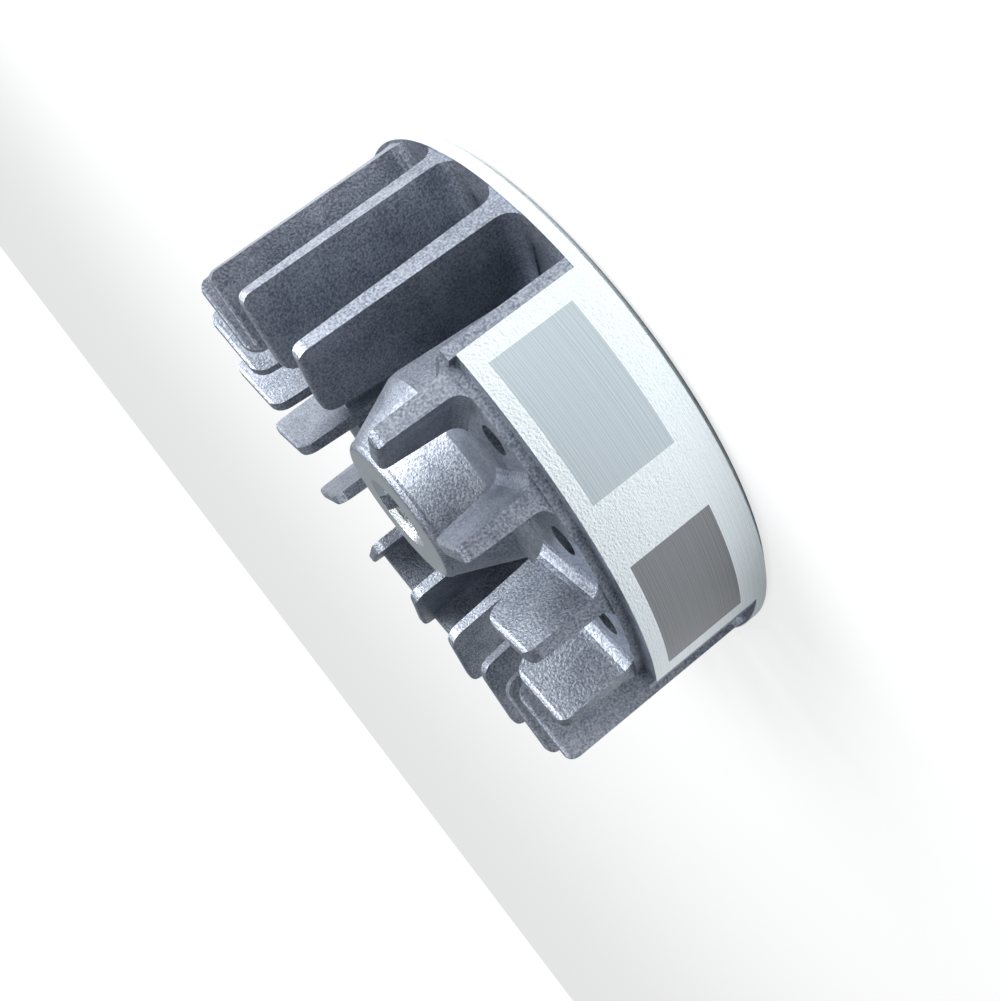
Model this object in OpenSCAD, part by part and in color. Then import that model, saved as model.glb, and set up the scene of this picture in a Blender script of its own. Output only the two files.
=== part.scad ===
// Brush cutter flywheel. One aluminium die casting carries the fan blades and the hub,
// and two steel pole shoes and a magnet are cast into its rim.
// The shaft axis is Z, the back face is z = 0 and the blades stand up towards +Z.
// The magnet is centred on -Y, and angles round the wheel are counted from it.

/* [Rim and disc] */
// Radius of the turned rim and of the magnet segment
rim_r = 50; // [48:0.5:53]
// Height of the turned rim above the back face
rim_h = 3.2; // [2.8:0.1:4]
// Height of the bevel round the back edge of the rim
bevel_h = 1.2; // [0.6:0.1:1.6]
// Width of that bevel along the radius
bevel_w = 1.6; // [0.8:0.1:2.2]
// How far the cast surfaces lie inside the turned ones
skin_in = 0.3; // [0.1:0.05:0.5]
// Radius of the ring step in the floor of the pockets
step_r = 44.5; // [42:0.5:46]
// Depth of that step
step_d = 0.5; // [0.3:0.1:0.7]
// Depth of the ring recess in the back face
recess_d = 0.8; // [0.4:0.1:1]
// Outer radius of that recess
recess_r = 40; // [38:0.5:43]

/* [Hub] */
// Height of the turned nose face
nose_h = 36.5; // [34:0.5:38.5]
// Radius of the nose
nose_r = 14; // [12.5:0.5:15]
// Radius of the rounded edge of the nose
nose_round = 1.6; // [0.8:0.1:2.5]
// Radius of the hub where its cone begins
waist_r = 18.8; // [17:0.2:19.5]
// Height at which the cone begins, just under the top of the web
waist_h = 24; // [23:0.1:24.4]
// Radius of the hub at the floor of the pockets
foot_r = 20.5; // [19.8:0.1:21.5]
// Radius of the bore for the crankshaft
bore_r = 6; // [5:0.25:6.5]
// Bevel at both mouths of the bore
bore_bevel = 1; // [0.4:0.1:1.4]
// Width of the keyway
key_w = 3; // [2:0.25:4]
// Depth of the keyway beyond the wall of the bore
key_d = 1.4; // [0.8:0.1:1.8]

/* [Long blades] */
// How far the outer ends of all the blades lie inside the edge of the surface they stand on
blade_in = 0.6; // [0.5:0.1:1.2]
// Number of long blades
long_n = 14; // [12:2:16]
// Angle from the magnet to the first long blade on each side
long_from = 55.5; // [53:0.5:58]
// Height of the ends of the long blades
long_h = 40; // [38.5:0.5:43]
// Thickness of a long blade at its foot
long_foot_w = 3.2; // [2.6:0.1:3.6]
// Thickness of a long blade at its end
long_end_w = 2; // [1.6:0.1:2.4]
// Radius at which a blade begins at its foot
blade_foot_r = 31.5; // [30:0.5:33]
// Radius at which a blade begins at its end
blade_end_r = 34.5; // [33.5:0.5:36]
// Radius of the hollow where a long blade meets the disc
long_fillet = 3; // [1.5:0.25:3.5]
// Radius of the outer corner of a blade end
corner_out = 1.8; // [1:0.2:2.4]
// Radius of the inner corner of a blade end
corner_in = 3; // [1.5:0.25:4]

/* [Short blades] */
// Angles of the short blades from the magnet
short_at = [-36, -12, 12, 36];
// Height of the ends of the short blades
short_h = 39.4; // [38:0.2:41]
// How far the short blades and their ring lie inside the turned rim
short_in = 2.7; // [2:0.1:3.2]
// Thickness of a short blade at its foot
short_foot_w = 3.2; // [2.6:0.1:3.6]
// Thickness of a short blade at its end
short_end_w = 2.7; // [2:0.1:3]
// Radius of the hollow where a short blade meets the ring
short_fillet = 2.6; // [1.5:0.1:3.2]

/* [Magnet segment] */
// Half angle of the turned face of the segment
pad_half = 38; // [37:0.25:39]
// Half angle of the segment with its cast side ribs
rib_half = 40.3; // [39.6:0.1:41.5]
// Height of the front edge of the turned face
pad_h = 23.7; // [23:0.1:24.4]
// Height of the web between the hub and the segment
web_h = 25.2; // [24.8:0.1:26]
// Thickness of the web over the back pocket
web_t = 5; // [4:0.25:6.5]
// Radius of the inner wall of the back pocket
pocket_in = 23; // [22.5:0.25:24]
// Radius of the outer wall of the back pocket
pocket_out = 35.5; // [33.5:0.5:36.5]
// Half angle of the back pocket
pocket_half = 34; // [30:0.5:36]

/* [Pole shoes and magnet] */
// Half angle of the aluminium bridge between the pole shoes
bridge_half = 6.4; // [5:0.2:8]
// Angle that one pole shoe covers
shoe_angle = 27.5; // [25:0.25:28.5]
// Lower and upper edge of the pole shoes
shoe_z = [6.5, 21];
// Thickness of a pole shoe along the radius
shoe_t = 5; // [4.2:0.1:5.4]
// Half angle of the magnet, which reaches under both shoes
magnet_half = 12; // [10:0.5:14]
// Thickness of the magnet along the radius
magnet_t = 6; // [4.5:0.25:6.5]
// Lower and upper face of the magnet
magnet_z = [7.5, 20];

/* [Pin holes] */
// Radius of the row of three pin holes over the segment
pin_row_r = 42; // [41:0.25:43]
// Angle between neighbouring pin holes
pin_pitch = 24; // [20:0.5:27]
// Diameter of these pin holes
pin_d = 5.2; // [4:0.1:5.6]
// Depth of these pin holes
pin_depth = 3.6; // [2:0.1:4.2]
// Radius and diameter of the two holes through the web, from the rim inwards
web_holes = [[30, 3], [25, 2]];

/* [Counterweight] */
// Number of pockets filled opposite the magnet
weight_n = 3; // [1:2:5]
// Height of the filled pockets
weight_h = 28; // [20:0.5:30]
// Radius of the inner face of the filled pockets
weight_in = 37; // [35:0.5:42]
// Number of pockets beside them that a wall closes on the outside
closed_n = 2; // [1:1:3]
// Height of that wall
closed_h = 37.4; // [32:0.2:38]
// Thickness of that wall
closed_t = 3; // [2.4:0.1:4]

/* [Hidden] */
$fn = 96;
cast_r = rim_r - skin_in;
short_r = rim_r - short_in;
floor_h = rim_h - step_d;
shoe_in = rim_r - shoe_t;
magnet_in = shoe_in - magnet_t;
pitch = (360 - 2 * long_from) / (long_n - 1);
weight_first = floor((long_n - weight_n) / 2);
// Part of a blade that runs down into the disc or the web
sink = 1;
// How deep the hollow at a blade's foot is bedded in the surface it runs out on
bed = 0.1;
// Overshoot of every cut
over = 1;

// Points of an arc about (x, y), for the rounded corners of the profiles
function arc(x, y, r, from, to, steps = 5) = [
    for (i = [0 : steps])
        let (a = from + (to - from) * i / steps)
        [x + r * cos(a), y + r * sin(a)]
];

// The same points on the other side of the vertical axis, in the other order
function mirrored(points) = [
    for (i = [len(points) - 1 : -1 : 0])
        [-points[i][0], points[i][1]]
];

// Angle of a long blade, counted from the magnet
function long_at(i) = long_from + pitch * i;

// Turns what lies on +X to an angle counted from the magnet
module at(angle) {
    rotate([0, 0, -90 - angle])
        children();
}

// Solid of revolution between two angles counted from the magnet
module sector(from, to) {
    rotate([0, 0, -90 - to])
        rotate_extrude(angle = to - from)
            children();
}

// Block between two radii, two heights and two angles
module sector_block(r, z, from, to) {
    sector(from, to)
        polygon([[r[0], z[0]], [r[1], z[0]], [r[1], z[1]], [r[0], z[1]]]);
}

// Blade on +X: its section along the radius has hollows at the foot and a rounded end,
// and its side view has the sloping inner edge and the rounded corners
module blade(outer, base, top, foot_w, end_w, fillet) {
    lip = end_w * 0.3;
    half = concat(
        [[foot_w / 2 + fillet, base - sink]],
        arc(foot_w / 2 + fillet, base + fillet - bed, fillet, 270, 180),
        arc(end_w / 2 - lip, top - lip, lip, 0, 90, 3)
    );
    side = concat(
        [[blade_foot_r, base - sink], [outer, base - sink]],
        arc(outer - corner_out, top - corner_out, corner_out, 0, 90),
        arc(blade_end_r + corner_in, top - corner_in, corner_in, 90, 180)
    );
    intersection() {
        rotate([90, 0, 90])
            linear_extrude(outer + over)
                polygon(concat(half, mirrored(half)));
        rotate([90, 0, 0])
            linear_extrude(foot_w + 2 * fillet + over, center = true)
                polygon(side);
    }
}

// Disc, rim and hub in one profile, with the rim as it was cast, before it was turned
module disc_and_hub() {
    rotate_extrude()
        polygon(concat(
            [
                [0, 0],
                [rim_r + over, 0],
                [rim_r + over, rim_h],
                [step_r, rim_h],
                [step_r, floor_h]
            ],
            arc(foot_r + long_fillet, floor_h + long_fillet, long_fillet, 270, 180),
            [[waist_r, waist_h]],
            arc(nose_r - nose_round, nose_h - nose_round, nose_round, 0, 90),
            [[0, nose_h]]
        ));
}

// Magnet segment: the cast block with its ribs, the web and ring, and the pad that was turned
module segment() {
    sector_block([foot_r - over, cast_r], [floor_h - sink, web_h - skin_in], -rib_half, rib_half);
    sector_block([waist_r - over, short_r], [floor_h - sink, web_h], -rib_half, rib_half);
    sector_block([short_r - over, rim_r + 2 * over], [rim_h - sink, pad_h], -pad_half, pad_half);
}

// What the lathe took off the rim and the segment, down to one cylinder with a bevel behind
module turnings() {
    slope = bevel_w / bevel_h;
    rotate_extrude()
        polygon([
            [rim_r - bevel_w - over * slope, -over],
            [rim_r + 4 * over, -over],
            [rim_r + 4 * over, web_h + over],
            [rim_r, web_h + over],
            [rim_r, bevel_h]
        ]);
}

// Cut that sets the ring of the short blades back from the turned face
module ring_setback() {
    sector_block([short_r, rim_r + over], [pad_h, web_h + over], -pad_half, pad_half);
}

// Filled pockets opposite the magnet, and the wall that closes the pockets beside them
module counterweight() {
    weight_from = long_at(weight_first);
    weight_to = long_at(weight_first + weight_n);
    closed_from = long_at(weight_first - closed_n);
    sector_block([weight_in, cast_r], [floor_h - sink, weight_h], weight_from, weight_to);
    sector_block([cast_r - closed_t, cast_r], [floor_h - sink, closed_h], closed_from, weight_from);
}

// Bore with a bevel at both mouths, and its keyway
module shaft_bore() {
    wide = bore_r + bore_bevel + over;
    rotate_extrude()
        polygon([
            [0, -over],
            [wide, -over],
            [bore_r, bore_bevel],
            [bore_r, nose_h - bore_bevel],
            [wide, nose_h + over],
            [0, nose_h + over]
        ]);
    at(180)
        translate([0, -key_w / 2, -over])
            cube([bore_r + key_d, key_w, nose_h + 2 * over]);
}

// Recesses that only show from behind
module back_recesses() {
    rotate_extrude()
        polygon([
            [foot_r, -over],
            [recess_r + over, -over],
            [recess_r, 0],
            [recess_r - recess_d, recess_d],
            [foot_r, recess_d]
        ]);
    sector_block([pocket_in, pocket_out], [-over, web_h - web_t], -pocket_half, pocket_half);
}

// Blind holes left by the pins that held the pole shoes in the mould, and two holes in the web
module pin_holes() {
    for (i = [-1 : 1])
        at(i * pin_pitch)
            translate([pin_row_r, 0, web_h - pin_depth])
                cylinder(h = pin_depth + over, d = pin_d, $fn = 48);
    for (hole = web_holes)
        at(0)
            translate([hole[0], 0, web_h - web_t - over])
                cylinder(h = web_t + 2 * over, d = hole[1], $fn = 32);
}

// Pole shoe out to a radius, right of the magnet for side = 1 and left for side = -1
module shoe_block(side, outer) {
    near = side * bridge_half;
    far = side * (bridge_half + shoe_angle);
    sector_block([shoe_in, outer], shoe_z, min(near, far), max(near, far));
}

module magnet_space() {
    sector_block([magnet_in, shoe_in], magnet_z, -magnet_half, magnet_half);
}

// The aluminium casting
module wheel_casting() {
    color([0.66, 0.68, 0.7])
        difference() {
            union() {
                disc_and_hub();
                difference() {
                    segment();
                    ring_setback();
                }
                counterweight();
                for (i = [0 : long_n - 1])
                    at(long_at(i))
                        blade(rim_r - blade_in, rim_h, long_h, long_foot_w, long_end_w, long_fillet);
                for (angle = short_at)
                    at(angle)
                        blade(short_r - blade_in, web_h, short_h, short_foot_w, short_end_w,
                            short_fillet);
            }
            turnings();
            shaft_bore();
            back_recesses();
            pin_holes();
            shoe_block(-1, rim_r + over);
            shoe_block(1, rim_r + over);
            magnet_space();
        }
}

// Steel pole shoes, turned flush with the casting
module pole_shoe_left() {
    color([0.5, 0.52, 0.55])
        shoe_block(-1, rim_r);
}

module pole_shoe_right() {
    color([0.5, 0.52, 0.55])
        shoe_block(1, rim_r);
}

// Magnet, cast in behind the bridge and against both shoes
module magnet() {
    color([0.22, 0.22, 0.24])
        magnet_space();
}

wheel_casting();
pole_shoe_left();
pole_shoe_right();
magnet();
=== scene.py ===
import math

import bpy
from mathutils import Matrix, Vector


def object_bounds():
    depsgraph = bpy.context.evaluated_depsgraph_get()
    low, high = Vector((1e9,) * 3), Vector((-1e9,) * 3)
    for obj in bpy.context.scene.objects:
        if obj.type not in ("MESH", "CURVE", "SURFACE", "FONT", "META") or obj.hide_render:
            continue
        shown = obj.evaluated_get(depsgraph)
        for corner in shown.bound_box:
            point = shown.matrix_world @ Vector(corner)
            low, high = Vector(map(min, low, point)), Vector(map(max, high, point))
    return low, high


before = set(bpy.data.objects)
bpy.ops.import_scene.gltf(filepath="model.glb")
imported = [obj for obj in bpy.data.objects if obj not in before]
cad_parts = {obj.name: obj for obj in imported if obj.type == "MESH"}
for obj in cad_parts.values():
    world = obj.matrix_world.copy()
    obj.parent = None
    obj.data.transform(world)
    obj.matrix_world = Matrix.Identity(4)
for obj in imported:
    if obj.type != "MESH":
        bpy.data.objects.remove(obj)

cad_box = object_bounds()


# Wheel casting. One aluminium die casting, shot-blasted all over, so that its skin is a
# bluish grey sparkle. The rim, the segment, the nose and the bore were then turned bright.
class Wire:
    """A shader socket. Arithmetic on it adds Math nodes, and node() adds any other node."""

    def __init__(self, tree, socket=None):
        self.tree = tree
        self.socket = socket

    def node(self, kind, settings=None, sockets=None, out=0):
        """Adds a node of that kind, sets it up, feeds its sockets and returns one output."""
        made = self.tree.nodes.new(kind)
        for name, value in (settings or {}).items():
            setattr(made, name, value)
        for name, value in (sockets or {}).items():
            if isinstance(value, Wire):
                self.tree.links.new(value.socket, made.inputs[name])
            else:
                made.inputs[name].default_value = value
        return Wire(self.tree, made.outputs[out] if made.outputs else None)

    def math(self, operation, a, b):
        return self.node("ShaderNodeMath", {"operation": operation}, {0: a, 1: b})

    def __add__(self, other):
        return self.math("ADD", self, other)

    __radd__ = __add__

    def __sub__(self, other):
        return self.math("SUBTRACT", self, other)

    def __rsub__(self, other):
        return self.math("SUBTRACT", other, self)

    def __mul__(self, other):
        return self.math("MULTIPLY", self, other)

    __rmul__ = __mul__

    def larger(self, other):
        return self.math("MAXIMUM", self, other)

    def step(self, low, high):
        """0 below low, 1 above high, and smooth between them. With low above high it falls."""
        settings = {"interpolation_type": "SMOOTHSTEP"}
        return self.node("ShaderNodeMapRange", settings, {0: self, 1: low, 2: high})

    def mix(self, a, b):
        """Colour a where this is 0 and colour b where it is 1."""
        return self.node("ShaderNodeMix", {"data_type": "RGBA"}, {0: self, 6: a, 7: b}, 2)


def paint(name):
    """A new metal material with its Principled shader, ready to be wired up."""
    material = bpy.data.materials.new(name)
    material.use_nodes = True
    shader = material.node_tree.nodes["Principled BSDF"]
    shader.inputs["Metallic"].default_value = 1.0
    return material, Wire(material.node_tree), shader


def plug(shader, name, wire):
    wire.tree.links.new(wire.socket, shader.inputs[name])


def dress(name, material):
    """Gives a node of the frame that material in place of its own."""
    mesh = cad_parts[name].data
    mesh.materials.clear()
    mesh.materials.append(material)


def rgb(red, green, blue):
    """A display colour from 0 to 255 as linear values."""
    return tuple(pow(v / 255, 2.2) for v in (red, green, blue)) + (1,)


def where(wire):
    """Object coordinates, their radius from the shaft axis and their height."""
    place = wire.node("ShaderNodeTexCoord", out=3)
    scale = {"operation": "MULTIPLY"}
    flat = wire.node("ShaderNodeVectorMath", scale, {0: place, 1: (1, 1, 0)})
    radius = wire.node("ShaderNodeVectorMath", {"operation": "LENGTH"}, {0: flat}, 1)
    height = wire.node("ShaderNodeSeparateXYZ", sockets={0: place}, out=2)
    return place, radius, height


def lathe_lines(height, density, detail):
    """Noise along the shaft alone, so that it runs round the wheel in fine lines."""
    sockets = {"W": height * density, "Scale": 1.0, "Detail": detail}
    return height.node("ShaderNodeTexNoise", {"noise_dimensions": "1D"}, sockets)


MM = 0.001
RIM_R = cad_box[1].x
BEVEL_H = 1.2 * MM
BEVEL_R = 48.3 * MM
NOSE_FACE = 36.45 * MM
NOSE_R = 14 * MM
NOSE_ROUND = 1 * MM
BORE_MOUTH_R = 7.2 * MM
FADE = 0.1 * MM  # width over which a turned surface runs into the cast skin
GRAIN_SIZE, BLOTCH_SIZE = 2600.0, 160.0  # noise cells to the metre
CAST_DARK, CAST_PALE = rgb(104, 110, 122), rgb(168, 174, 184)
TURNED_DARK, TURNED_PALE = rgb(200, 210, 212), rgb(232, 238, 240)


def casting_finish():
    material, wire, shader = paint("cast_and_turned_aluminium")
    place, radius, height = where(wire)
    side = radius.step(RIM_R - 2 * FADE, RIM_R - FADE)
    bevel = height.step(BEVEL_H + FADE, BEVEL_H) * radius.step(BEVEL_R - FADE, BEVEL_R)
    nose = height.step(NOSE_FACE - FADE, NOSE_FACE) * radius.step(NOSE_R, NOSE_R - NOSE_ROUND)
    bore = radius.step(BORE_MOUTH_R + FADE, BORE_MOUTH_R)
    turned = side.larger(bevel).larger(nose).larger(bore)

    grain = wire.node(
        "ShaderNodeTexNoise", sockets={"Vector": place, "Scale": GRAIN_SIZE, "Detail": 3.0}
    )
    blotch = wire.node(
        "ShaderNodeTexNoise", sockets={"Vector": place, "Scale": BLOTCH_SIZE, "Detail": 2.0}
    )
    cast = (grain * 0.7 + blotch * 0.3).step(0.3, 0.7).mix(CAST_DARK, CAST_PALE)
    bright = lathe_lines(height, 9000, 2.0).step(0.3, 0.7).mix(TURNED_DARK, TURNED_PALE)
    plug(shader, "Base Color", turned.mix(cast, bright))
    plug(shader, "Roughness", 0.5 - turned * 0.2)
    sockets = {"Height": grain, "Strength": 0.5, "Distance": 0.2 * MM}
    plug(shader, "Normal", wire.node("ShaderNodeBump", sockets=sockets))
    return material


dress("wheel_casting", casting_finish())


# Pole shoes and magnet. The shoes are two blocks of the same steel, cast into the segment and turned
# flush
# with it, so that they show the lines of the lathe. Their colours are a lit and a shaded copy of that
# steel:
# the left shoe is painted paler with a painted reflection of bright surroundings, and the right shoe
# is painted darker with painted shade. The magnet is sealed in behind.
SHOE_LINES = 7000


def block_finish(name, dark, pale):
    material, wire, shader = paint(name)
    height = where(wire)[2]
    lines = lathe_lines(height, SHOE_LINES, 3.0)
    plug(shader, "Base Color", lines.step(0.2, 0.8).mix(dark, pale))
    shader.inputs["Roughness"].default_value = 0.3
    return material


for name, dark, pale in (
    # Painted reflection: the left shoe's paler colour stands in for the bright surroundings that it
    # reflects.
    ("pole_shoe_left", rgb(150, 160, 165), rgb(190, 200, 204)),
    # Painted shade: the same steel as the left shoe, painted darker for the dark surroundings that it
    # reflects.
    ("pole_shoe_right", rgb(110, 112, 114), rgb(140, 142, 144)),
    ("magnet", rgb(60, 60, 62), rgb(80, 80, 82)),
):
    dress(name, block_finish(name + "_finish", dark, pale))


# Floor and backdrop. A sheet of pale paper under the wheel, which glows a little for the
# camera alone, so that it looks white, keeps the wheel's shadow and adds no light to it.
FLOOR_REACH = 3.0
FLOOR_GLOW = 0.72
PAPER = (0.75, 0.75, 0.76, 1)
WHITE = (1, 1, 1, 1)

corners = [(-1, -1), (1, -1), (1, 1), (-1, 1)]
floor_mesh = bpy.data.meshes.new("floor")
floor_mesh.from_pydata([(x * FLOOR_REACH, y * FLOOR_REACH, 0) for x, y in corners], [], [(0, 1, 2, 3)])
floor = bpy.data.objects.new("floor", floor_mesh)
bpy.context.collection.objects.link(floor)
material = bpy.data.materials.new("paper")
material.use_nodes = True
material.node_tree.nodes.clear()
wire = Wire(material.node_tree)
paper = wire.node("ShaderNodeBsdfDiffuse", sockets={"Color": PAPER})
glow = wire.node("ShaderNodeEmission", sockets={"Color": WHITE, "Strength": 1.0})
seen = wire.node("ShaderNodeMixShader", sockets={0: FLOOR_GLOW, 1: paper, 2: glow})
camera_ray = wire.node("ShaderNodeLightPath", out=0)
both = wire.node("ShaderNodeMixShader", sockets={0: camera_ray, 1: paper, 2: seen})
wire.node("ShaderNodeOutputMaterial", sockets={0: both})
floor_mesh.materials.append(material)

ROOM = (0.8, 0.85, 0.9, 1)
ROOM_LIGHT = 0.35

world = bpy.data.worlds.new("studio")
world.use_nodes = True
bpy.context.scene.world = world
world.node_tree.nodes.clear()
wire = Wire(world.node_tree)
room = wire.node("ShaderNodeBackground", sockets={"Color": ROOM, "Strength": ROOM_LIGHT})
backdrop = wire.node("ShaderNodeBackground", sockets={"Color": WHITE, "Strength": 1.0})
camera_ray = wire.node("ShaderNodeLightPath", out=0)
both = wire.node("ShaderNodeMixShader", sockets={0: camera_ray, 1: room, 2: backdrop})
wire.node("ShaderNodeOutputWorld", sockets={0: both})


# Lamps. Two soft boxes: the key stands on the side that lies at the top of the picture, and
# the fill hangs over the segment.
SOFT_BOX = 0.5
AIM = Vector((0, 0, 0.02))


def lamp(name, azimuth, elevation, distance, power):
    """A soft box that faces the wheel from that side. Angles are in degrees."""
    light = bpy.data.lights.new(name, "AREA")
    light.shape = "RECTANGLE"
    light.size, light.size_y, light.energy = SOFT_BOX, SOFT_BOX, power
    made = bpy.data.objects.new(name, light)
    a, e = math.radians(azimuth), math.radians(elevation)
    out = Vector((math.cos(a) * math.cos(e), math.sin(a) * math.cos(e), math.sin(e)))
    made.location = AIM + out * distance
    made.rotation_mode = "QUATERNION"
    made.rotation_quaternion = out.to_track_quat("Z", "Y")
    bpy.context.collection.objects.link(made)


lamp("key", 10, 35, 0.6, 9.0)
lamp("fill", -70, 60, 0.7, 2.0)


# Camera. Close to the wheel and rolled, so that the shaft axis runs down to the left.
CAMERA_AT = (0.09265, -0.20811, 0.06601)
CAMERA_RIGHT = (-0.48209, -0.40657, -0.77608)
CAMERA_UP = (0.76163, 0.24334, -0.60059)
CAMERA_LENS, CAMERA_SENSOR, CAMERA_NEAR = 49.75, 36, 0.01

right, up = Vector(CAMERA_RIGHT).normalized(), Vector(CAMERA_UP)
up = (up - right * up.dot(right)).normalized()
turn = Matrix((right, up, right.cross(up))).transposed().to_4x4()
camera = bpy.data.objects.new("camera", bpy.data.cameras.new("camera"))
camera.data.sensor_width = CAMERA_SENSOR
camera.data.lens = CAMERA_LENS
camera.data.clip_start = CAMERA_NEAR
camera.matrix_world = Matrix.Translation(CAMERA_AT) @ turn
bpy.context.collection.objects.link(camera)
bpy.context.scene.camera = camera
bpy.context.scene.view_settings.view_transform = "Standard"
